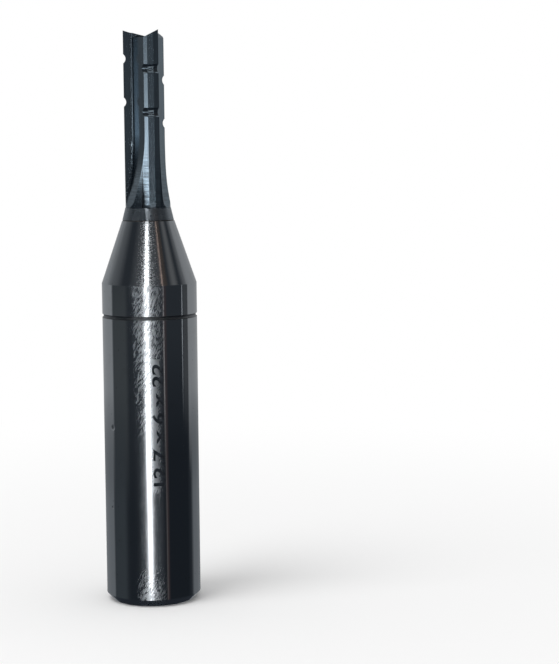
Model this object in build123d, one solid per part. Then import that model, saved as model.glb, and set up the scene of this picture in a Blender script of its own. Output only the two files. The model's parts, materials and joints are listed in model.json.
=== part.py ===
from build123d import *
import math
import os

# Straight router bit with three flutes: a ground carbide head brazed into a turned steel shank.
# It stands on the flat end of the shank. +Z runs up the axis to the cutting tip, origin at the
# centre of the shank's end face. All sizes are in millimetres.

# ---- driving dimensions ------------------------------------------------------------------
# Shank
shank_diameter = 12.7  # half-inch collet size
shank_length = 43.0  # end face to the foot of the cone
cone_length = 8.3
cone_top_diameter = 7.0
end_chamfer = 1.0
mark_height = 38.7  # insertion mark above the end face
mark_width = 0.5
mark_depth = 0.18

# Brazed socket
tail_diameter = 4.2  # spigot of the head, inside the shank
tail_length = 9.0
tail_chamfer = 0.3
braze_gap = 0.06  # filler thickness round the spigot
seam_thickness = 0.12  # filler thickness under the shoulder
seam_recess = 0.06  # the filler stands back from the two cones
drill_point_angle = 118.0

# Cutting head
cutting_diameter = 6.0
collar_height = 1.6
collar_ledge = 0.05  # the collar stands proud of the cutting circle by this much
land_length = 23.4  # collar to the corners of the end teeth
tooth_count = 3
first_edge_angle = 187.6  # where the first cutting edge stands, from +X
core_diameter = 3.1
rake_angle = 6.0
flute_length = 13.8  # full-depth part of each flute
flute_root_radius = 0.45
wheel_diameter = 64.0  # grinding wheel that leaves the run-outs
relief_widths = (0.70, 0.82, 0.89)  # cutting land, second land and the flat behind them
relief_angles = (12.0, 33.0, 55.0)
back_length = 17.9  # full-depth part of the pass that clears the heel
dish_angle = 14.0  # end edges fall towards the axis
end_relief_angle = 24.0
end_depth = 0.95  # flat left in the middle of the end, below the tooth corners

# Chip-breaker notches
notch_radius = 0.75
notch_depth = 0.3
notch_pitch = 5.7
notches_per_tooth = 2
first_notch_depth = 3.7  # below the tip, on the tooth that leads the stagger
notch_stagger = 1.4

# ---- levels and radii worked out from them ------------------------------------------------
shank_radius = shank_diameter / 2
cone_top_radius = cone_top_diameter / 2
cutting_radius = cutting_diameter / 2
core_radius = core_diameter / 2
wheel_radius = wheel_diameter / 2
tail_radius = tail_diameter / 2
socket_radius = tail_radius + braze_gap
collar_top_radius = cutting_radius + collar_ledge

cone_top = shank_length + cone_length
shoulder = cone_top + seam_thickness
socket_floor = shoulder - tail_length - braze_gap
collar_top = shoulder + collar_height
tip = collar_top + land_length

cone_slope = (shank_radius - cone_top_radius) / cone_length
shoulder_radius = cone_top_radius - cone_slope * seam_thickness

reach = cutting_diameter + cone_top_diameter  # how far the cutting tools extend outwards
tooth_pitch = 360.0 / tooth_count


def polar(radius, degrees):
    """A point of the cross-section from its radius and its angle."""
    angle = math.radians(degrees)
    return Vector(radius * math.cos(angle), radius * math.sin(angle))


def step(start, degrees, length):
    """The point a given length away from another, in a given direction."""
    return start + polar(length, degrees)


def turned(outline):
    """A body of revolution from the points of its half-section (radius, height)."""
    section = Plane.XZ * make_face(Polyline(*outline, close=True))
    return revolve(section, Axis.Z)


# ---- shank --------------------------------------------------------------------------------
def make_shank():
    """Turned and ground bar: end chamfer, insertion mark, cone and the blind socket."""
    point_depth = socket_radius / math.tan(math.radians(drill_point_angle / 2))
    body = turned(
        [
            (0, 0),
            (shank_radius - end_chamfer, 0),
            (shank_radius, end_chamfer),
            (shank_radius, shank_length),
            (cone_top_radius, cone_top),
            (socket_radius, cone_top),
            (socket_radius, socket_floor),
            (0, socket_floor - point_depth),
        ]
    )
    mark = make_face(
        [
            ThreePointArc(
                (shank_radius, mark_height - mark_width / 2),
                (shank_radius - mark_depth, mark_height),
                (shank_radius, mark_height + mark_width / 2),
            ),
            Polyline(
                (shank_radius, mark_height + mark_width / 2),
                (shank_radius + mark_width, mark_height + mark_width / 2),
                (shank_radius + mark_width, mark_height - mark_width / 2),
                (shank_radius, mark_height - mark_width / 2),
            ),
        ]
    )
    return body - revolve(Plane.XZ * mark, Axis.Z)


# ---- braze --------------------------------------------------------------------------------
def make_braze():
    """Silver-solder film: a disc under the spigot, a sleeve round it and the seam ring."""
    seam_radius = shoulder_radius - seam_recess
    return turned(
        [
            (0, socket_floor),
            (socket_radius, socket_floor),
            (socket_radius, cone_top),
            (seam_radius, cone_top),
            (seam_radius, shoulder),
            (tail_radius, shoulder),
            (tail_radius, shoulder - tail_length + tail_chamfer),
            (tail_radius - tail_chamfer, shoulder - tail_length),
            (0, shoulder - tail_length),
        ]
    )


# ---- cutting head -------------------------------------------------------------------------
# Each tooth is drawn with its cutting edge at angle 0, so at (cutting_radius, 0). Its lands fall
# away clockwise and its flute opens anticlockwise, as seen from the tip.
edge_point = Vector(cutting_radius, 0)
land_points = [edge_point]
for width, angle in zip(relief_widths, relief_angles):
    land_points.append(step(land_points[-1], -90 - angle, width))
back_direction = -relief_angles[-1]  # the back carries on in the plane of the last flat
back_radius = land_points[-1].dot(polar(1, back_direction))


def wheel_pass(section, floor_radius, direction, length):
    """One pass of the grinding wheel down the side of the head. The section is drawn with x
    along the wheel's axle and y outwards, and the pass ends in the wheel's own radius."""
    axle = Axis((0, floor_radius + wheel_radius, 0), (1, 0, 0))
    run_out = revolve(section, axle, 45)
    slot = extrude(section, 2 * length)
    return Pos(0, 0, tip - length) * (Rot(0, 0, direction - 90) * (slot + run_out))


def make_flute():
    """The flute ahead of a cutting edge: rake face, rounded root and a flat floor. The floor is
    tangent to the core circle and meets the next tooth's back a third of the pitch behind it."""
    heel_angle = tooth_pitch - tooth_pitch / 3
    heel_radius = back_radius / math.cos(math.radians(back_direction + tooth_pitch / 3))
    direction = heel_angle - math.degrees(math.acos(core_radius / heel_radius))
    across = edge_point.dot(polar(1, direction - 90))
    outward = edge_point.dot(polar(1, direction))
    lean = math.tan(math.radians(direction - rake_angle))
    root = (across - (outward - core_radius) * lean, core_radius)
    rim = (root[0] + (reach - core_radius) * lean, reach)
    section = make_face(Polyline((-reach, core_radius), root, rim, (-reach, reach), close=True))
    corner = section.vertices().sort_by_distance((*root, 0))[0]
    return wheel_pass(fillet(corner, flute_root_radius), core_radius, direction, flute_length)


def make_back():
    """The back of a tooth, cleared beyond the last flat down to the wheel's run-out."""
    height = reach - back_radius
    section = Pos(0, back_radius + height / 2) * Rectangle(2 * reach, height)
    return wheel_pass(section, back_radius, back_direction, back_length)


def make_relief():
    """What is ground off behind one cutting edge to leave its lands, straight down to the collar
    and ending in the wall cut by the side of the wheel."""
    wall_top = step(land_points[-1], back_direction, reach)
    outline = land_points + [wall_top, Vector(reach, 0)]
    section = make_face(Polyline(*outline, close=True))
    return Pos(0, 0, collar_top) * extrude(section, land_length + reach)


def make_notch():
    """A round chip-breaker notch that follows the lands from the edge to the heel."""
    cuts = []
    for start, end in zip(land_points, land_points[1:]):
        along = (end - start).normalized()
        outward = Vector(-along.Y, along.X) * (notch_radius - notch_depth)
        middle = (start + end) / 2 + outward
        length = (end - start).length + 2 * notch_depth
        place = Plane(origin=middle, z_dir=along)
        cuts.append(place * Cylinder(notch_radius, length))
    return cuts[0] + cuts[1:]


def make_end_relief():
    """Space above one end tooth: over the plane behind its dished edge, and over the flat middle,
    within its own sector."""
    dish = math.radians(dish_angle)
    inward = Vector(-math.cos(dish), 0, -math.sin(dish))
    fall = math.radians(end_relief_angle)
    backward = Vector(0, -math.cos(fall), -math.sin(fall))
    surface = Plane(origin=(cutting_radius, 0, tip), x_dir=inward, z_dir=inward.cross(backward))
    above = surface * Box(2 * reach, 2 * reach, reach, align=(Align.CENTER, Align.CENTER, Align.MIN))
    corners = [Vector(0, 0)]
    for share in (0, 0.5, 1):
        corners.append(polar(reach, -tooth_pitch * share))
    sector = make_face(Polyline(*corners, close=True))
    return above & (Pos(0, 0, tip - end_depth) * extrude(sector, 2 * reach))


def make_head():
    """Carbide blank with its spigot and collar, ground to three teeth."""
    head = turned(
        [
            (0, shoulder - tail_length),
            (tail_radius - tail_chamfer, shoulder - tail_length),
            (tail_radius, shoulder - tail_length + tail_chamfer),
            (tail_radius, shoulder),
            (shoulder_radius, shoulder),
            (collar_top_radius, collar_top),
            (cutting_radius, collar_top),
            (cutting_radius, tip),
            (0, tip),
        ]
    )
    flute = make_flute()
    back = make_back()
    relief = make_relief()
    notch = make_notch()
    end_relief = make_end_relief()
    for tooth in range(tooth_count):
        turn = Rot(0, 0, first_edge_angle + tooth * tooth_pitch)
        head = head - turn * flute - turn * relief - turn * back - turn * end_relief
        for row in range(notches_per_tooth):
            drop = first_notch_depth + tooth * notch_stagger + row * notch_pitch
            head = head - Pos(0, 0, tip - drop) * (turn * notch)
    return head


# ---- output -------------------------------------------------------------------------------
parts = {
    "shank": make_shank(),
    "braze_joint": make_braze(),
    "cutting_head": make_head(),
}
os.makedirs("parts", exist_ok=True)
for name, solid in parts.items():
    solid.label = name
    export_step(solid, f"parts/{name}.step")
    print(name, "volume", round(solid.volume, 2), "solids", len(solid.solids()))
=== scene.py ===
import json
import math

import bpy
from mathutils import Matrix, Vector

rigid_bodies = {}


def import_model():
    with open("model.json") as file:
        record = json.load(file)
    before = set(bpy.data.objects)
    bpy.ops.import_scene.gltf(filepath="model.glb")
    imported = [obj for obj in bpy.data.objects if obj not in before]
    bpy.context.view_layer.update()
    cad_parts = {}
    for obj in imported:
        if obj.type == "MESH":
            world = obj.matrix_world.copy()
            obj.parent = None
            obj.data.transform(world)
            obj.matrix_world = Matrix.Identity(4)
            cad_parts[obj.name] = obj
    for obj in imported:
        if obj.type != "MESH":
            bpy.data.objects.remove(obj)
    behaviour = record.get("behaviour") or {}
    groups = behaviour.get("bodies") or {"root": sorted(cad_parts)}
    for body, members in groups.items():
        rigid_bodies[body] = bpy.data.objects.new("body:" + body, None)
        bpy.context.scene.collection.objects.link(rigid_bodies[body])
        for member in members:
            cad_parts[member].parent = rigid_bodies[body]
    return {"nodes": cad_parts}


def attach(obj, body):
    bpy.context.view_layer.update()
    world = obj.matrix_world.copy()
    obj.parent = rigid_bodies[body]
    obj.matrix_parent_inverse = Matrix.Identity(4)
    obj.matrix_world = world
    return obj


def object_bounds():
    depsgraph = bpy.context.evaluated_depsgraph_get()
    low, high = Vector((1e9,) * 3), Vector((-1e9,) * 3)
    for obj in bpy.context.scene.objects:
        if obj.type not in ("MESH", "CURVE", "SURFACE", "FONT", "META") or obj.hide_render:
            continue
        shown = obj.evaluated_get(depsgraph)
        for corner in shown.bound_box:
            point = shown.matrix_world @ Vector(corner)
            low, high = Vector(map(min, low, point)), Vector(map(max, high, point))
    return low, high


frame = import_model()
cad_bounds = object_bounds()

# ---- Camera --------------------------------------------------------------------------------
# A short telephoto lens a quarter of a metre in front of the bit, a little above its middle and
# looking slightly down, so that the marks and the seam show as shallow rings.
camera = bpy.data.objects.new("camera", bpy.data.cameras.new("camera"))
bpy.context.scene.collection.objects.link(camera)
camera.location = (0.01762962, -0.24370320, 0.06151088)
camera.rotation_euler = (math.radians(84.061088), math.radians(0.471851), 0)
camera.data.lens = 98.70
camera.data.sensor_width = 36
camera.data.clip_start = 0.01
camera.data.clip_end = 20
bpy.context.scene.camera = camera


# ---- Shank ---------------------------------------------------------------------------------
# Half-inch round of steel, turned with a cone at the top and an insertion mark. It is then ground
# and polished, so it mirrors the room, and rubbed down by hand on the side that was marked. That side
# faces the strip light, and its scuffs are painted paler, which is partly a painted sheen.
def add_node(tree, kind, **settings):
    """A new node with its own settings, and a number or a vector for each socket named."""
    node = tree.nodes.new(kind)
    sockets = settings.pop("sockets", {})
    for name, value in settings.items():
        setattr(node, name, value)
    for name, value in sockets.items():
        node.inputs[name].default_value = value
    return node


def math_node(tree, operation, first, second=None, third=None, clamp=False):
    """One step of arithmetic; each term is a number or another node's output."""
    node = tree.nodes.new("ShaderNodeMath")
    node.operation = operation
    node.use_clamp = clamp
    for socket, term in zip(node.inputs, (first, second, third)):
        if term is None:
            continue
        if isinstance(term, (int, float)):
            socket.default_value = term
        else:
            tree.links.new(term, socket)
    return node.outputs[0]


def mix_colours(tree, factor, first, second, blend="MIX"):
    """Two colours mixed by a mask; each term is a colour or another node's output."""
    node = tree.nodes.new("ShaderNodeMix")
    node.data_type = "RGBA"
    node.blend_type = blend
    node.clamp_factor = True
    for socket, term in zip((node.inputs[0], node.inputs[6], node.inputs[7]), (factor, first, second)):
        if isinstance(term, (int, float)):
            socket.default_value = term
        elif isinstance(term, tuple):
            socket.default_value = (*term, 1)
        else:
            tree.links.new(term, socket)
    return node.outputs[2]


def new_effect(name, inputs, outputs):
    """An empty node group with named sockets, and its two ends."""
    group = bpy.data.node_groups.new(name, "ShaderNodeTree")
    for socket, kind, value in inputs:
        made = group.interface.new_socket(socket, in_out="INPUT", socket_type=kind)
        made.default_value = value
    for socket, kind in outputs:
        group.interface.new_socket(socket, in_out="OUTPUT", socket_type=kind)
    return group, group.nodes.new("NodeGroupInput"), group.nodes.new("NodeGroupOutput")


def use_effect(tree, group, place, **values):
    """A node group placed in a material, reading the given coordinates if it needs any."""
    node = tree.nodes.new("ShaderNodeGroup")
    node.node_tree = group
    if place is not None:
        tree.links.new(place, node.inputs["Place"])
    for name, value in values.items():
        node.inputs[name.replace("_", " ")].default_value = value
    return node


def new_finish(name, metallic):
    """A new finish: its material, its node tree, its shader and the place that it reads."""
    material = bpy.data.materials.new(name)
    material.use_nodes = True
    tree = material.node_tree
    shader = tree.nodes["Principled BSDF"]
    shader.inputs["Metallic"].default_value = metallic
    return material, tree, shader, add_node(tree, "ShaderNodeTexCoord").outputs["Object"]


def lay_colours(tree, colour, *layers):
    """A first colour with others laid over it, each by its mask and its strength."""
    for mask, strength, layer in layers:
        colour = mix_colours(tree, math_node(tree, "MULTIPLY", mask, strength), colour, layer)
    return colour


def add_shares(tree, total, *shares):
    """A starting value with a share of each mask added to it."""
    for mask, share in shares:
        total = math_node(tree, "MULTIPLY_ADD", mask, share, total)
    return total


def wire_finish(tree, shader, colour, roughness, relief=None, depth=0):
    """Wires up a finish. Depth is how deep in metres a relief of 1 looks."""
    tree.links.new(colour, shader.inputs["Base Color"])
    tree.links.new(roughness, shader.inputs["Roughness"])
    if relief is not None:
        bump = add_node(tree, "ShaderNodeBump", sockets={"Strength": 1, "Distance": depth})
        tree.links.new(relief, bump.inputs["Height"])
        tree.links.new(bump.outputs[0], shader.inputs["Normal"])


# Tool marks: streaks that can wind round the axis. Across and Along are counts per metre, and
# Twist is in radians per metre.
tool_marks, ends_in, ends_out = new_effect(
    "tool_marks",
    [
        ("Place", "NodeSocketVector", (0, 0, 0)),
        ("Twist", "NodeSocketFloat", 0),
        ("Across", "NodeSocketFloat", 3000),
        ("Along", "NodeSocketFloat", 400),
        ("Low", "NodeSocketFloat", 0.4),
        ("High", "NodeSocketFloat", 0.6),
    ],
    [("Mask", "NodeSocketFloat")],
)
height = add_node(tool_marks, "ShaderNodeSeparateXYZ")
tool_marks.links.new(ends_in.outputs["Place"], height.inputs[0])
turn = math_node(tool_marks, "MULTIPLY", height.outputs["Z"], ends_in.outputs["Twist"])
wound = add_node(tool_marks, "ShaderNodeVectorRotate", rotation_type="Z_AXIS")
tool_marks.links.new(ends_in.outputs["Place"], wound.inputs["Vector"])
tool_marks.links.new(turn, wound.inputs["Angle"])
counts = add_node(tool_marks, "ShaderNodeCombineXYZ")
tool_marks.links.new(ends_in.outputs["Across"], counts.inputs["X"])
tool_marks.links.new(ends_in.outputs["Across"], counts.inputs["Y"])
tool_marks.links.new(ends_in.outputs["Along"], counts.inputs["Z"])
stretched = add_node(tool_marks, "ShaderNodeVectorMath", operation="MULTIPLY")
tool_marks.links.new(wound.outputs[0], stretched.inputs[0])
tool_marks.links.new(counts.outputs[0], stretched.inputs[1])
streaks = add_node(
    tool_marks, "ShaderNodeTexNoise", sockets={"Scale": 1, "Detail": 0.5, "Roughness": 0.5}
)
tool_marks.links.new(stretched.outputs[0], streaks.inputs["Vector"])
cut_off = add_node(tool_marks, "ShaderNodeMapRange")
tool_marks.links.new(streaks.outputs["Fac"], cut_off.inputs["Value"])
tool_marks.links.new(ends_in.outputs["Low"], cut_off.inputs["From Min"])
tool_marks.links.new(ends_in.outputs["High"], cut_off.inputs["From Max"])
tool_marks.links.new(cut_off.outputs[0], ends_out.inputs["Mask"])

# Patches: soft uneven areas, as where the polish is thinner or a hand has left its trace.
patches, ends_in, ends_out = new_effect(
    "patches",
    [
        ("Place", "NodeSocketVector", (0, 0, 0)),
        ("Scale", "NodeSocketFloat", 200),
        ("Low", "NodeSocketFloat", 0.4),
        ("High", "NodeSocketFloat", 0.7),
    ],
    [("Mask", "NodeSocketFloat")],
)
clouds = add_node(patches, "ShaderNodeTexNoise", sockets={"Detail": 4, "Roughness": 0.6})
patches.links.new(ends_in.outputs["Place"], clouds.inputs["Vector"])
patches.links.new(ends_in.outputs["Scale"], clouds.inputs["Scale"])
cut_off = add_node(patches, "ShaderNodeMapRange", interpolation_type="SMOOTHSTEP")
patches.links.new(clouds.outputs["Fac"], cut_off.inputs["Value"])
patches.links.new(ends_in.outputs["Low"], cut_off.inputs["From Min"])
patches.links.new(ends_in.outputs["High"], cut_off.inputs["From Max"])
patches.links.new(cut_off.outputs[0], ends_out.inputs["Mask"])

# Specks: small scattered pits. Amount is the share of the cells that hold one.
specks, ends_in, ends_out = new_effect(
    "specks",
    [
        ("Place", "NodeSocketVector", (0, 0, 0)),
        ("Scale", "NodeSocketFloat", 1500),
        ("Amount", "NodeSocketFloat", 0.2),
        ("Size", "NodeSocketFloat", 0.3),
    ],
    [("Mask", "NodeSocketFloat")],
)
cells = add_node(specks, "ShaderNodeTexVoronoi")
specks.links.new(ends_in.outputs["Place"], cells.inputs["Vector"])
specks.links.new(ends_in.outputs["Scale"], cells.inputs["Scale"])
chosen = add_node(specks, "ShaderNodeSeparateColor")
specks.links.new(cells.outputs["Color"], chosen.inputs[0])
held = math_node(specks, "LESS_THAN", chosen.outputs[0], ends_in.outputs["Amount"])
dot = add_node(specks, "ShaderNodeMapRange", sockets={"To Min": 1, "To Max": 0})
specks.links.new(cells.outputs["Distance"], dot.inputs["Value"])
specks.links.new(ends_in.outputs["Size"], dot.inputs["From Max"])
specks.links.new(
    math_node(specks, "MULTIPLY", held, dot.outputs[0]), ends_out.inputs["Mask"]
)

# Edge highlight and wear: the sharp corners, found by comparing the surface with a slightly rounded
# one. They are painted paler, partly as wear and partly as a painted highlight of their rounding.
edge_highlight_and_wear, ends_in, ends_out = new_effect(
    "edge_highlight_and_wear",
    [
        ("Place", "NodeSocketVector", (0, 0, 0)),
        ("Radius", "NodeSocketFloat", 0.0001),
        ("Breaks", "NodeSocketFloat", 1500),
    ],
    [("Mask", "NodeSocketFloat")],
)
rounded = add_node(edge_highlight_and_wear, "ShaderNodeBevel", samples=6)
edge_highlight_and_wear.links.new(ends_in.outputs["Radius"], rounded.inputs["Radius"])
surface = add_node(edge_highlight_and_wear, "ShaderNodeNewGeometry")
agreement = add_node(edge_highlight_and_wear, "ShaderNodeVectorMath", operation="DOT_PRODUCT")
edge_highlight_and_wear.links.new(rounded.outputs[0], agreement.inputs[0])
edge_highlight_and_wear.links.new(surface.outputs["Normal"], agreement.inputs[1])
edge = add_node(
    edge_highlight_and_wear, "ShaderNodeMapRange", sockets={"From Min": 0.995, "From Max": 0.93}
)
edge_highlight_and_wear.links.new(agreement.outputs["Value"], edge.inputs["Value"])
breaks = add_node(edge_highlight_and_wear, "ShaderNodeTexNoise", sockets={"Detail": 3})
edge_highlight_and_wear.links.new(ends_in.outputs["Place"], breaks.inputs["Vector"])
edge_highlight_and_wear.links.new(ends_in.outputs["Breaks"], breaks.inputs["Scale"])
uneven = add_node(
    edge_highlight_and_wear, "ShaderNodeMapRange", sockets={"From Min": 0.3, "From Max": 0.6, "To Min": 0.55}
)
edge_highlight_and_wear.links.new(breaks.outputs["Fac"], uneven.inputs["Value"])
edge_highlight_and_wear.links.new(
    math_node(edge_highlight_and_wear, "MULTIPLY", edge.outputs[0], uneven.outputs[0]),
    ends_out.inputs["Mask"],
)

# One dent: a small round hollow with its centre at a given point of the surface.
dent, ends_in, ends_out = new_effect(
    "dent",
    [
        ("Place", "NodeSocketVector", (0, 0, 0)),
        ("Centre", "NodeSocketVector", (0, 0, 0)),
        ("Radius", "NodeSocketFloat", 0.0003),
    ],
    [("Mask", "NodeSocketFloat")],
)
reach = add_node(dent, "ShaderNodeVectorMath", operation="DISTANCE")
dent.links.new(ends_in.outputs["Place"], reach.inputs[0])
dent.links.new(ends_in.outputs["Centre"], reach.inputs[1])
hollow = add_node(
    dent, "ShaderNodeMapRange", interpolation_type="SMOOTHSTEP", sockets={"To Min": 1, "To Max": 0}
)
dent.links.new(reach.outputs["Value"], hollow.inputs["Value"])
dent.links.new(ends_in.outputs["Radius"], hollow.inputs["From Max"])
dent.links.new(hollow.outputs[0], ends_out.inputs["Mask"])

# A level: a mask that fades in over a short stretch of height, from one level to another.
level_fade, ends_in, ends_out = new_effect(
    "level_fade",
    [
        ("Place", "NodeSocketVector", (0, 0, 0)),
        ("From", "NodeSocketFloat", 0),
        ("To", "NodeSocketFloat", 0.001),
    ],
    [("Mask", "NodeSocketFloat")],
)
height = add_node(level_fade, "ShaderNodeSeparateXYZ")
level_fade.links.new(ends_in.outputs["Place"], height.inputs[0])
fade = add_node(level_fade, "ShaderNodeMapRange", interpolation_type="SMOOTHSTEP")
level_fade.links.new(height.outputs["Z"], fade.inputs["Value"])
level_fade.links.new(ends_in.outputs["From"], fade.inputs["From Min"])
level_fade.links.new(ends_in.outputs["To"], fade.inputs["From Max"])
level_fade.links.new(fade.outputs[0], ends_out.inputs["Mask"])

MICRON_DIGITS = 6  # places after the point in metres, so that the frame's sizes come out round
shank = frame["nodes"]["shank"]
SHANK_RADIUS = round(cad_bounds[1][0], MICRON_DIGITS)
CONE_TOP = round(max(corner.co.z for corner in shank.data.vertices), MICRON_DIGITS)
CONE_LENGTH = 0.0083
CONE_FOOT = CONE_TOP - CONE_LENGTH
GROOVE_BELOW_CONE = 0.0043
GROOVE_LEVEL = CONE_FOOT - GROOVE_BELOW_CONE
GROOVE_HALF = 0.00025
MARK_START = 0.0164  # height of the foot of the size mark
MARK_END = 0.0328  # height of its top

POLISHED_STEEL = (0.41, 0.43, 0.45)
SCUFF_SHEEN_STEEL = (0.55, 0.59, 0.63)
STAINED_STEEL = (0.33, 0.34, 0.34)
# dark for the pits, and painted shade for the dents
DARK_PITS_AND_DENT_SHADE = (0.10, 0.10, 0.11)
EDGE_HIGHLIGHT_STEEL = (0.60, 0.61, 0.62)
GROOVE_STEEL = (0.19, 0.20, 0.21)
STEEL_POLISH = 0.065  # roughness where nothing has touched the steel
STEEL_RELIEF = 0.0000025

# The lit, rubbed side, where the strip light's highlight falls, and the side of the mark are masks
# round the shank. Each has the angle that it looks to, in degrees, and the cosines away from there
# where it begins and where it is full.
LIT_RUBBED_SIDE = (271.5, 0.932, 0.985)
MARKED_SIDE = (282.2, 0.984, 0.993)

# The scuffs of the lit, rubbed side, which are partly painted sheen, have the height where they set
# in and the height where they are full.
UPPER_SCUFFS_AND_SHEEN = (0.020, 0.036)
END_SCUFFS_AND_SHEEN = (0.0065, 0.0010)

# Two dents from handling, sunk into the relief and painted darker as painted shade in their hollows.
# Each has its angle in degrees, its height and its radius.
DENTS = ((220.5, 0.0240, 0.00046), (217.5, 0.0132, 0.00026))

steel, tree, shader, place = new_finish("ground_steel", metallic=1)
sideways = add_node(
    tree, "ShaderNodeVectorMath", operation="MULTIPLY", sockets={1: (1, 1, 0)}
)
tree.links.new(place, sideways.inputs[0])
unit = add_node(tree, "ShaderNodeVectorMath", operation="NORMALIZE")
tree.links.new(sideways.outputs[0], unit.inputs[0])
outward = unit.outputs[0]


def shank_side(tree, outward, degrees, outer, inner, fade):
    """A mask of the side of the shank that looks one way."""
    angle = math.radians(degrees)
    facing = add_node(
        tree,
        "ShaderNodeVectorMath",
        operation="DOT_PRODUCT",
        sockets={1: (math.cos(angle), math.sin(angle), 0)},
    )
    tree.links.new(outward, facing.inputs[0])
    side = add_node(
        tree,
        "ShaderNodeMapRange",
        interpolation_type=fade,
        sockets={"From Min": outer, "From Max": inner},
    )
    tree.links.new(facing.outputs["Value"], side.inputs["Value"])
    return side.outputs[0]


def on_shank(degrees, z):
    """A point of the shank's surface from its angle and its height."""
    angle = math.radians(degrees)
    return (SHANK_RADIUS * math.cos(angle), SHANK_RADIUS * math.sin(angle), z)


lit_rubbed_side = shank_side(tree, outward, *LIT_RUBBED_SIDE, fade="SMOOTHSTEP")
beside_mark = shank_side(tree, outward, *MARKED_SIDE, fade="LINEAR")
upper = use_effect(tree, level_fade, place, From=UPPER_SCUFFS_AND_SHEEN[0], To=UPPER_SCUFFS_AND_SHEEN[1]).outputs[0]
end_scuffs_and_sheen = use_effect(tree, level_fade, place, From=END_SCUFFS_AND_SHEEN[0], To=END_SCUFFS_AND_SHEEN[1]).outputs[0]
on_cone = use_effect(tree, level_fade, place, From=CONE_FOOT - 0.0002, To=CONE_FOOT).outputs[0]
below_top = use_effect(
    tree, level_fade, place, From=MARK_END + 0.0010, To=MARK_END + 0.0002
).outputs[0]
above_foot = use_effect(
    tree, level_fade, place, From=MARK_START - 0.0024, To=MARK_START - 0.0004
).outputs[0]
strokes = use_effect(
    tree, tool_marks, place, Twist=-66, Across=7400, Along=1600, Low=0.43, High=0.63
).outputs[0]
turning = use_effect(
    tree, tool_marks, place, Twist=0, Across=4600, Along=7000, Low=0.42, High=0.6
).outputs[0]
rings = use_effect(
    tree, tool_marks, place, Twist=0, Across=60, Along=9000, Low=0.35, High=0.65
).outputs[0]
stains = use_effect(tree, patches, place, Scale=420, Low=0.56, High=0.74).outputs[0]
pitting = use_effect(tree, specks, place, Scale=2600, Amount=0.04, Size=0.3).outputs[0]
edge_highlights_and_wear = use_effect(tree, edge_highlight_and_wear, place, Radius=0.00012, Breaks=1800).outputs[0]

# Short slanting strokes, which lie thickest near the cone and at the end. Round the size mark the
# steel is rubbed evenly instead, so that the digits stay easy to read. The strokes are painted paler
# on the side where the strip light's highlight falls, which is partly a painted sheen.
even = math_node(tree, "MULTIPLY", beside_mark, below_top)
even = math_node(tree, "MULTIPLY", even, above_foot)
strokes = math_node(
    tree,
    "MULTIPLY_ADD",
    strokes,
    math_node(tree, "MULTIPLY_ADD", even, -0.88, 1),
    math_node(tree, "MULTIPLY", even, 0.50),
)
lit_rubbed_shank = math_node(tree, "MULTIPLY", lit_rubbed_side, math_node(tree, "SUBTRACT", 1, on_cone))
amount = math_node(tree, "MULTIPLY_ADD", upper, 0.82, 0.08)
amount = math_node(tree, "MAXIMUM", amount, math_node(tree, "MULTIPLY", even, 0.70))
amount = math_node(tree, "MAXIMUM", amount, end_scuffs_and_sheen)
amount = math_node(tree, "MULTIPLY", amount, lit_rubbed_shank)
scuffs_and_sheen = math_node(tree, "SUBTRACT", math_node(tree, "ADD", amount, strokes), 1)
scuffs_and_sheen = math_node(tree, "MULTIPLY", scuffs_and_sheen, 2.5, clamp=True)

# Fine turning marks that the polish has left on the lit, rubbed side of the cone.
turned_cone = math_node(tree, "MULTIPLY", turning, on_cone)
turned_cone = math_node(tree, "MULTIPLY", turned_cone, lit_rubbed_side)

dents = []
for degrees, z, radius in DENTS:
    dents.append(
        use_effect(tree, dent, place, Centre=on_shank(degrees, z), Radius=radius).outputs[0]
    )
dented = math_node(tree, "MAXIMUM", dents[0], dents[1])

# The bottom of the groove, which the polishing wheel did not reach.
height = add_node(tree, "ShaderNodeSeparateXYZ")
tree.links.new(place, height.inputs[0])
from_groove = math_node(tree, "SUBTRACT", height.outputs["Z"], GROOVE_LEVEL)
groove = add_node(
    tree,
    "ShaderNodeMapRange",
    sockets={"From Min": GROOVE_HALF + 0.00002, "From Max": GROOVE_HALF - 0.00001},
)
tree.links.new(math_node(tree, "ABSOLUTE", from_groove), groove.inputs["Value"])
in_groove = groove.outputs[0]

colour = lay_colours(
    tree,
    POLISHED_STEEL,
    # scuffs painted paler where the strip light's highlight falls: real scratches, partly painted
    # sheen
    (scuffs_and_sheen, 0.4, SCUFF_SHEEN_STEEL),
    (stains, 0.3, STAINED_STEEL),
    (pitting, 0.8, DARK_PITS_AND_DENT_SHADE),
    # the dents are painted darker: painted shade in their hollows
    (dented, 0.7, DARK_PITS_AND_DENT_SHADE),
    # sharp edges painted paler: partly wear, partly a painted highlight
    (edge_highlights_and_wear, 0.25, EDGE_HIGHLIGHT_STEEL),
    (in_groove, 1, GROOVE_STEEL),
)
roughness = add_shares(
    tree,
    STEEL_POLISH,
    (scuffs_and_sheen, 0.19),
    (lit_rubbed_shank, 0.115),
    (on_cone, 0.05),
    (turned_cone, 0.19),
    (stains, 0.02),
    (dented, 0.3),
    (in_groove, 0.3),
)
relief = add_shares(
    tree, 0, (scuffs_and_sheen, 0.18), (rings, 0.06), (turned_cone, 0.15), (pitting, -1), (dented, -12)
)
wire_finish(tree, shader, colour, roughness, relief, STEEL_RELIEF)
shank.material_slots[0].material = steel


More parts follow.
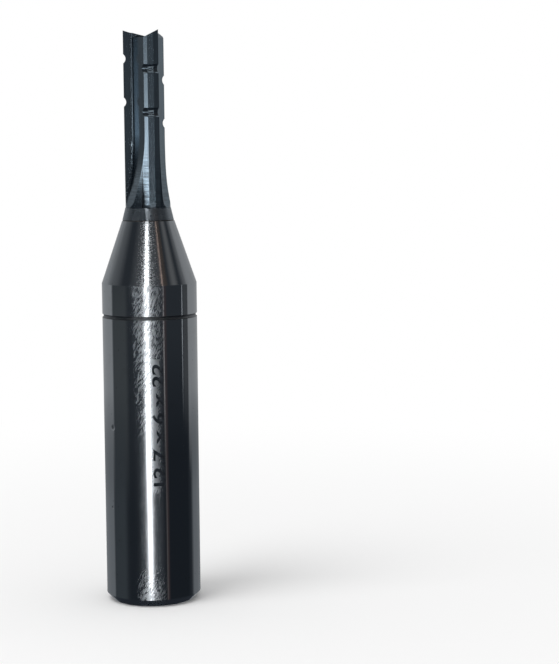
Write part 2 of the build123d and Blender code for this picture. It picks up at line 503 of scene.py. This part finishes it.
# ---- Size mark -----------------------------------------------------------------------------
# The three sizes of the bit in plain digits, lightly etched up the side of the shank. The etch
# is a dark film that stands a few microns proud, and it reads from the end face to the cone.
MARK_HEIGHT = 0.00152  # of the digits, round the shank
MARK_BASE_ANGLE = 289.0  # where the digits stand, in degrees
MARK_CUTS = 12  # strips that each digit is cut into, so that it bends round the shank
ETCH_PROUD = 0.000004
ETCH_SUNK = 0.000014
ETCH_BLACK = (0.010, 0.013, 0.017)
ETCH_THIN = (0.024, 0.029, 0.036)


def deselect_all():
    """Leaves nothing selected, so that the next operator acts on the new piece alone."""
    for thing in bpy.data.objects:
        thing.select_set(False)


deselect_all()
bpy.ops.object.text_add()
mark = bpy.context.object
mark.name = "size_mark"
mark.data.body = "12.7 x 6 x 22"
mark.data.size = 1
mark.data.offset = 0.026
mark.data.resolution_u = 4
bpy.ops.object.convert(target="MESH")
mark = bpy.context.object
left = min(vertex.co.x for vertex in mark.data.vertices)
right = max(vertex.co.x for vertex in mark.data.vertices)
top = max(vertex.co.y for vertex in mark.data.vertices)
bpy.ops.object.mode_set(mode="EDIT")
for cut in range(1, MARK_CUTS):
    bpy.ops.mesh.select_all(action="SELECT")
    bpy.ops.mesh.bisect(plane_co=(0, top * cut / MARK_CUTS, 0), plane_no=(0, 1, 0))
bpy.ops.mesh.select_all(action="SELECT")
bpy.ops.mesh.extrude_region_move(TRANSFORM_OT_translate={"value": (0, 0, 1)})
bpy.ops.object.mode_set(mode="OBJECT")
for vertex in mark.data.vertices:
    along, up, out = vertex.co
    angle = math.radians(MARK_BASE_ANGLE) - up / top * MARK_HEIGHT / SHANK_RADIUS
    radius = SHANK_RADIUS + (ETCH_PROUD if out > 0.5 else -ETCH_SUNK)
    z = MARK_START + (along - left) / (right - left) * (MARK_END - MARK_START)
    vertex.co = (radius * math.cos(angle), radius * math.sin(angle), z)
mark.data.update()
bpy.ops.object.mode_set(mode="EDIT")
bpy.ops.mesh.select_all(action="SELECT")
bpy.ops.mesh.normals_make_consistent(inside=False)
bpy.ops.object.mode_set(mode="OBJECT")

etch, tree, shader, place = new_finish("dark_etch", metallic=0)
shader.inputs["Specular IOR Level"].default_value = 0.08
thin_film = use_effect(tree, patches, place, Scale=1800, Low=0.4, High=0.65).outputs[0]
colour = mix_colours(tree, thin_film, ETCH_BLACK, ETCH_THIN)
roughness = math_node(tree, "MULTIPLY_ADD", thin_film, -0.12, 0.5)
wire_finish(tree, shader, colour, roughness)
mark.data.materials.clear()
mark.data.materials.append(etch)
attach(mark, "root")


# ---- Braze joint ---------------------------------------------------------------------------
# Silver solder between the shank and the carbide. It was melted in with a torch, so the ring
# that shows in the seam is dull, a little lumpy and browned by the flux.
SOLDER_GREY = (0.16, 0.15, 0.14)
FLUX_BROWN = (0.05, 0.04, 0.035)
SOLDER_RELIEF = 0.00001

solder, tree, shader, place = new_finish("silver_solder_film", metallic=0.9)
flux = use_effect(tree, patches, place, Scale=700, Low=0.4, High=0.62).outputs[0]
grains = use_effect(tree, specks, place, Scale=6000, Amount=0.5, Size=0.5).outputs[0]
colour = mix_colours(tree, flux, SOLDER_GREY, FLUX_BROWN)
roughness = math_node(tree, "MULTIPLY_ADD", flux, 0.25, 0.4)
relief = math_node(tree, "ADD", flux, grains)
wire_finish(tree, shader, colour, roughness, relief, SOLDER_RELIEF)
frame["nodes"]["braze_joint"].material_slots[0].material = solder


# ---- Cutting head --------------------------------------------------------------------------
# Solid tungsten carbide, sintered as a blank and ground to shape with diamond wheels: three
# flutes, three narrow facets and a cleared back behind each edge, chip-breaker notches and three
# end teeth. Its spigot is soldered into the shank.
COLLAR_HEIGHT = 0.00172  # with the seam under it
COLLAR_TOP = CONE_TOP + COLLAR_HEIGHT
RUN_OUT_TOP = COLLAR_TOP + 0.00848  # the coarse cross lines set in here, going down
RUN_OUT_FULL = COLLAR_TOP + 0.00398  # and from here down they are at their strongest
HOLLOW_REACH = 0.0006  # how far round a corner the painted shade reaches

BLUE_CARBIDE = (0.212, 0.264, 0.305)
DARK_CARBIDE = (0.138, 0.172, 0.200)
DRIED_COOLANT = (0.19, 0.21, 0.23)
EDGE_HIGHLIGHT_CARBIDE = (0.42, 0.45, 0.48)
COLLAR_CARBIDE = (0.27, 0.30, 0.33)
HOLLOW_SHADE_BLACK = (0.05, 0.06, 0.07)
CARBIDE_POLISH = 0.12  # roughness where the wheels have left no lines
CARBIDE_RELIEF = 0.000001

carbide, tree, shader, place = new_finish("ground_carbide_head", metallic=1)
wheel_lines = use_effect(
    tree, tool_marks, place, Twist=0, Across=9000, Along=260, Low=0.4, High=0.62
).outputs[0]
cross_lines = use_effect(
    tree, tool_marks, place, Twist=0, Across=500, Along=5200, Low=0.42, High=0.62
).outputs[0]
grain = use_effect(tree, patches, place, Scale=5000, Low=0.35, High=0.65).outputs[0]
coolant = use_effect(tree, patches, place, Scale=380, Low=0.45, High=0.7).outputs[0]
edge_highlights_and_wear = use_effect(tree, edge_highlight_and_wear, place, Radius=0.00009, Breaks=2600).outputs[0]

# The wheel's run-outs low down on the head keep its coarse cross lines.
low_down = add_node(
    tree, "ShaderNodeMapRange", sockets={"From Min": RUN_OUT_TOP, "From Max": RUN_OUT_FULL}
)
level = add_node(tree, "ShaderNodeSeparateXYZ")
tree.links.new(place, level.inputs[0])
tree.links.new(level.outputs["Z"], low_down.inputs["Value"])
coarse = math_node(tree, "MULTIPLY", cross_lines, low_down.outputs[0])

# The collar is paler and duller than the ground teeth above it.
on_collar = use_effect(
    tree, level_fade, place, From=COLLAR_TOP + 0.00018, To=COLLAR_TOP - 0.00022
).outputs[0]

# Painted shade: the flute roots and the notches are painted darker, and rougher, where ambient
# occlusion finds them hidden.
hollows = add_node(
    tree,
    "ShaderNodeAmbientOcclusion",
    samples=8,
    only_local=True,
    sockets={"Distance": HOLLOW_REACH},
)
in_hollows = add_node(tree, "ShaderNodeMapRange", sockets={"From Min": 0.97, "From Max": 0.72})
tree.links.new(hollows.outputs["AO"], in_hollows.inputs["Value"])
hollow_shade = in_hollows.outputs[0]

colour = lay_colours(
    tree,
    BLUE_CARBIDE,
    (wheel_lines, 0.3, DARK_CARBIDE),
    (coarse, 0.6, DARK_CARBIDE),
    (coolant, 0.3, DRIED_COOLANT),
    # sharp edges painted paler: partly wear, partly a painted highlight
    (edge_highlights_and_wear, 0.25, EDGE_HIGHLIGHT_CARBIDE),
    (on_collar, 1, COLLAR_CARBIDE),
    # hollows painted darker: painted shade
    (hollow_shade, 0.85, HOLLOW_SHADE_BLACK),
)
roughness = add_shares(
    tree,
    CARBIDE_POLISH,
    (wheel_lines, 0.03),
    (coarse, 0.07),
    (grain, 0.02),
    (on_collar, 0.14),
    (hollow_shade, 0.25),
)
relief = add_shares(tree, 0, (coarse, 2.2), (wheel_lines, 0.5))
wire_finish(tree, shader, colour, roughness, relief, CARBIDE_RELIEF)
frame["nodes"]["cutting_head"].material_slots[0].material = carbide


# ---- Floor ---------------------------------------------------------------------------------
# Plain pale paper under the bit. It keeps the soft shadow near the bit, and further out it
# goes over to the same white as the background.
FLOOR_RADIUS = 6
SHADOW_END = 0.02  # from here outwards the paper starts to go white
WHITE_START = 0.16  # and from here on it is all white


def new_paper(name):
    """A new paper with no shader yet: its material and its node tree."""
    material = bpy.data.materials.new(name)
    material.use_nodes = True
    tree = material.node_tree
    tree.nodes.remove(tree.nodes["Principled BSDF"])
    return material, tree


def seen_white(tree):
    """A mask of the rays that see the white: straight, mirrored, or through something clear."""
    rays = add_node(tree, "ShaderNodeLightPath")
    seen = math_node(
        tree, "MAXIMUM", rays.outputs["Is Camera Ray"], rays.outputs["Is Glossy Ray"]
    )
    return math_node(tree, "MAXIMUM", seen, rays.outputs["Is Transmission Ray"])


deselect_all()
bpy.ops.mesh.primitive_circle_add(vertices=96, radius=FLOOR_RADIUS, fill_type="NGON")
floor = bpy.context.object
floor.name = "paper_floor"
paper, tree = new_paper("pale_paper")
matt = add_node(tree, "ShaderNodeBsdfDiffuse", sockets={"Color": (0.9, 0.9, 0.9, 1)})
white = add_node(tree, "ShaderNodeEmission", sockets={"Color": (1, 1, 1, 1), "Strength": 1})
place = add_node(tree, "ShaderNodeTexCoord").outputs["Object"]
distance = add_node(tree, "ShaderNodeVectorMath", operation="LENGTH")
tree.links.new(place, distance.inputs[0])
far = add_node(
    tree,
    "ShaderNodeMapRange",
    interpolation_type="SMOOTHSTEP",
    sockets={"From Min": SHADOW_END, "From Max": WHITE_START},
)
tree.links.new(distance.outputs["Value"], far.inputs["Value"])
mixed = add_node(tree, "ShaderNodeMixShader")
tree.links.new(math_node(tree, "MULTIPLY", seen_white(tree), far.outputs[0]), mixed.inputs[0])
tree.links.new(matt.outputs[0], mixed.inputs[1])
tree.links.new(white.outputs[0], mixed.inputs[2])
tree.links.new(mixed.outputs[0], tree.nodes["Material Output"].inputs["Surface"])
floor.data.materials.append(paper)
floor.visible_glossy = False


# ---- Studio wall ---------------------------------------------------------------------------
# A ring of card round the bit, which only the metal mirrors. It is a dark room with grey papers
# at the sides and behind, and with strip lights and smaller cards standing in front of it.
#
# Each card has its two ends in degrees round the bit, counted from the middle of the back (92)
# by way of the left side (180) and the front (270) to the back again (452), and how softly they
# end. Its foot, its top and how softly those end are in metres. Its tone is the light that it
# gives, where 1 is white. A card lower in the list stands in front of the ones above it.
WALL_RADIUS = 0.4
WALL_HEIGHT = 1.4
WALL_MIDDLE = 0.3
BACK_ANGLE = 92
UNDER_RADIUS = 0.12
UNDER_LEVEL = -0.06
UNDER_TONE = (0.030, 0.036, 0.046)

card_shape, ends_in, ends_out = new_effect(
    "card_shape",
    [
        ("Turn", "NodeSocketFloat", 0),
        ("Level", "NodeSocketFloat", 0),
        ("Start", "NodeSocketFloat", 0),
        ("End", "NodeSocketFloat", 10),
        ("Side", "NodeSocketFloat", 1),
        ("Foot", "NodeSocketFloat", 0),
        ("Top", "NodeSocketFloat", 0.1),
        ("Rim", "NodeSocketFloat", 0.01),
    ],
    [("Mask", "NodeSocketFloat")],
)
held = None
for value, first, last, soft in (("Turn", "Start", "End", "Side"), ("Level", "Foot", "Top", "Rim")):
    for limit, sign in ((first, 1), (last, -1)):
        inside = math_node(
            card_shape, "SUBTRACT", ends_in.outputs[value], ends_in.outputs[limit]
        )
        inside = math_node(card_shape, "DIVIDE", inside, ends_in.outputs[soft])
        inside = math_node(card_shape, "MULTIPLY_ADD", inside, sign * 0.5, 0.5, clamp=True)
        held = inside if held is None else math_node(card_shape, "MULTIPLY", held, inside)
card_shape.links.new(held, ends_out.inputs["Mask"])


def grey(value, blue=0.0):
    """A neutral tone, or one that leans to blue."""
    return (value * (1 - blue), value, value * (1 + blue))


DARK_ROOM = (0.042, 0.049, 0.058)
cards = (
    # The foot of the room, darker than the rest and paler again near the floor.
    ("room, low", 300, 376, 6, -0.60, -0.025, 0.02, (0.020, 0.025, 0.032)),
    ("room, low on the left", 212, 260, 6, -0.60, -0.045, 0.02, (0.026, 0.032, 0.040)),
    ("room, near the floor", 200, 390, 6, -0.60, -0.16, 0.04, grey(0.09, 0.08)),
    # Papers at the two sides and behind.
    ("left paper", 80, 164, 14, 0.150, 0.80, 0.02, grey(0.40, 0.02)),
    ("left paper, middle", 80, 172, 3, -0.045, 0.150, 0.02, grey(0.40, 0.03)),
    ("left paper, low", 80, 167, 3, -0.60, -0.045, 0.02, grey(0.25, 0.06)),
    ("olive board", 173, 216, 5, -0.045, 0.020, 0.02, (0.088, 0.098, 0.104)),
    ("olive board, low", 168, 206, 5, -0.60, -0.045, 0.02, (0.066, 0.078, 0.088)),
    ("left board, high", 165, 186, 16, 0.130, 0.80, 0.02, grey(0.20, 0.05)),
    ("right paper", 378, 460, 2, -0.040, 0.80, 0.015, grey(0.41, 0.02)),
    ("right paper, low", 388, 460, 5, -0.60, -0.040, 0.02, grey(0.24, 0.06)),
    ("right board", 362, 376, 2, -0.030, 0.020, 0.01, grey(0.10, 0.06)),
    ("right board, high", 370, 381, 10, 0.130, 0.80, 0.02, grey(0.30, 0.02)),
    # The window strip in front, with the paler card that it stands on.
    ("strip card", 252, 288, 14, -0.60, 0.020, 0.01, grey(0.13, 0.10)),
    ("strip card, high", 240, 292, 22, 0.180, 0.45, 0.02, grey(0.19, 0.04)),
    ("strip light", 262, 271.3, 0.8, -0.055, 0.017, 0.005, grey(9.5)),
    ("strip light, low", 263.5, 272, 0.8, -0.13, -0.055, 0.02, grey(6.0)),
    ("strip light, lowest", 262, 273, 2, -0.60, -0.135, 0.02, grey(1.4)),
    ("strip light, high", 262.3, 271.6, 0.8, 0.270, 0.36, 0.02, grey(9.0)),
    # The door frame on the right, which is warm, and the gap beside it.
    ("door frame", 306.3, 307.9, 0.7, -0.035, 0.020, 0.015, (0.72, 0.67, 0.655)),
    ("door frame, low", 308.0, 310.0, 1.0, -0.60, -0.035, 0.02, (0.30, 0.275, 0.265)),
    ("door edge", 309.0, 313.5, 2, -0.60, 0.020, 0.01, (0.075, 0.057, 0.060)),
    ("gap of light", 357.8, 359.4, 0.6, -0.020, 0.020, 0.015, grey(0.80, 0.04)),
    ("door frame, high", 307.3, 309.7, 1.0, 0.250, 0.36, 0.02, (1.25, 0.90, 0.74)),
    ("door edge, high", 311.5, 321, 4, 0.230, 0.36, 0.02, (0.095, 0.076, 0.064)),
    ("far shelf", 336, 346, 9, 0.180, 0.45, 0.02, grey(0.27)),
    # Cards that stand level with the cutting head.
    ("head, behind left", 146, 170, 3, 0.026, 0.108, 0.006, grey(0.145, 0.06)),
    ("head, left, low", 222, 240, 2, 0.024, 0.042, 0.004, grey(0.50, 0.04)),
    ("head, left, brightest", 222, 240, 2, 0.042, 0.053, 0.004, grey(6.0, 0.04)),
    ("head, left, middle", 222, 240, 2, 0.053, 0.073, 0.006, grey(2.5, 0.05)),
    ("head, left, high", 222, 240, 2, 0.073, 0.103, 0.006, grey(0.72, 0.04)),
    ("head, front, low", 264, 286, 3, 0.024, 0.047, 0.006, grey(0.16, 0.08)),
    ("head, front, middle", 264, 286, 3, 0.047, 0.074, 0.006, grey(0.29, 0.08)),
    ("head, front, high", 264, 286, 3, 0.074, 0.130, 0.006, grey(0.17, 0.08)),
    ("head, right, low", 288, 304, 3, 0.024, 0.047, 0.008, grey(0.26, 0.04)),
    ("head, right, high", 288, 304, 3, 0.047, 0.130, 0.008, grey(0.13, 0.08)),
    ("head, far right", 306, 328, 3, 0.024, 0.130, 0.006, grey(0.100, 0.10)),
    # The dark ceiling.
    ("ceiling", 60, 480, 1, 0.46, 1.5, 0.03, grey(0.10)),
)


def hide_from_all_but_metal(card):
    """Leaves a card to be seen by mirrored rays only, so that it lights nothing matt and casts
    no shadow."""
    card.visible_camera = False
    card.visible_diffuse = False
    card.visible_transmission = False
    card.visible_volume_scatter = False
    card.visible_shadow = False


deselect_all()
bpy.ops.mesh.primitive_cylinder_add(
    vertices=180,
    radius=WALL_RADIUS,
    depth=WALL_HEIGHT,
    end_fill_type="NOTHING",
    location=(0, 0, WALL_MIDDLE),
)
wall = bpy.context.object
wall.name = "studio_wall"
bpy.ops.object.transform_apply(location=True)
papers, tree = new_paper("cards_and_strips")
place = add_node(tree, "ShaderNodeTexCoord").outputs["Object"]
to_back = add_node(
    tree,
    "ShaderNodeVectorRotate",
    rotation_type="Z_AXIS",
    sockets={"Angle": math.radians(180 - BACK_ANGLE)},
)
tree.links.new(place, to_back.inputs["Vector"])
angle = add_node(tree, "ShaderNodeTexGradient", gradient_type="RADIAL")
tree.links.new(to_back.outputs[0], angle.inputs["Vector"])
turn = math_node(tree, "MULTIPLY_ADD", angle.outputs["Fac"], 360, BACK_ANGLE)
level = add_node(tree, "ShaderNodeSeparateXYZ")
tree.links.new(place, level.inputs[0])
tones = DARK_ROOM
for name, start, end, side, foot, top, rim, tone in cards:
    card = use_effect(
        tree, card_shape, None, Start=start, End=end, Side=side, Foot=foot, Top=top, Rim=rim
    )
    card.label = name
    tree.links.new(turn, card.inputs["Turn"])
    tree.links.new(level.outputs["Z"], card.inputs["Level"])
    tones = mix_colours(tree, card.outputs[0], tones, tone)
glow = add_node(tree, "ShaderNodeEmission", sockets={"Strength": 1})
tree.links.new(tones, glow.inputs["Color"])
tree.links.new(glow.outputs[0], tree.nodes["Material Output"].inputs["Surface"])
wall.data.materials.append(papers)
hide_from_all_but_metal(wall)

# One more card lies flat under the floor, for the foot of the bit to mirror.
deselect_all()
bpy.ops.mesh.primitive_circle_add(
    vertices=48, radius=UNDER_RADIUS, fill_type="NGON", location=(0, 0, UNDER_LEVEL)
)
under = bpy.context.object
under.name = "card_underneath"
bpy.ops.object.transform_apply(location=True)
dark_card, tree = new_paper("dark_card")
glow = add_node(tree, "ShaderNodeEmission", sockets={"Color": (*UNDER_TONE, 1), "Strength": 1})
tree.links.new(glow.outputs[0], tree.nodes["Material Output"].inputs["Surface"])
under.data.materials.append(dark_card)
hide_from_all_but_metal(under)


# ---- Light ---------------------------------------------------------------------------------
# One broad lamp high on the left for the shadow, and an even pale surround that looks white
# itself.
lamp = bpy.data.objects.new("soft_lamp", bpy.data.lights.new("soft_lamp", "AREA"))
bpy.context.scene.collection.objects.link(lamp)
lamp.data.shape = "DISK"
lamp.data.size = 0.5
lamp.data.energy = 3.0
lamp.location = (-0.35, -0.30, 0.75)
lamp.rotation_euler = (math.radians(31.6), 0, math.radians(-49.4))
lamp.visible_glossy = False

world = bpy.data.worlds.new("pale_surround")
bpy.context.scene.world = world
world.use_nodes = True
tree = world.node_tree
soft = tree.nodes["Background"]
soft.inputs["Color"].default_value = (1, 1, 1, 1)
soft.inputs["Strength"].default_value = 0.75
white = add_node(tree, "ShaderNodeBackground", sockets={"Color": (1, 1, 1, 1), "Strength": 1})
mixed = add_node(tree, "ShaderNodeMixShader")
tree.links.new(seen_white(tree), mixed.inputs[0])
tree.links.new(soft.outputs[0], mixed.inputs[1])
tree.links.new(white.outputs[0], mixed.inputs[2])
tree.links.new(mixed.outputs[0], tree.nodes["World Output"].inputs["Surface"])

bpy.context.scene.view_settings.view_transform = "Standard"
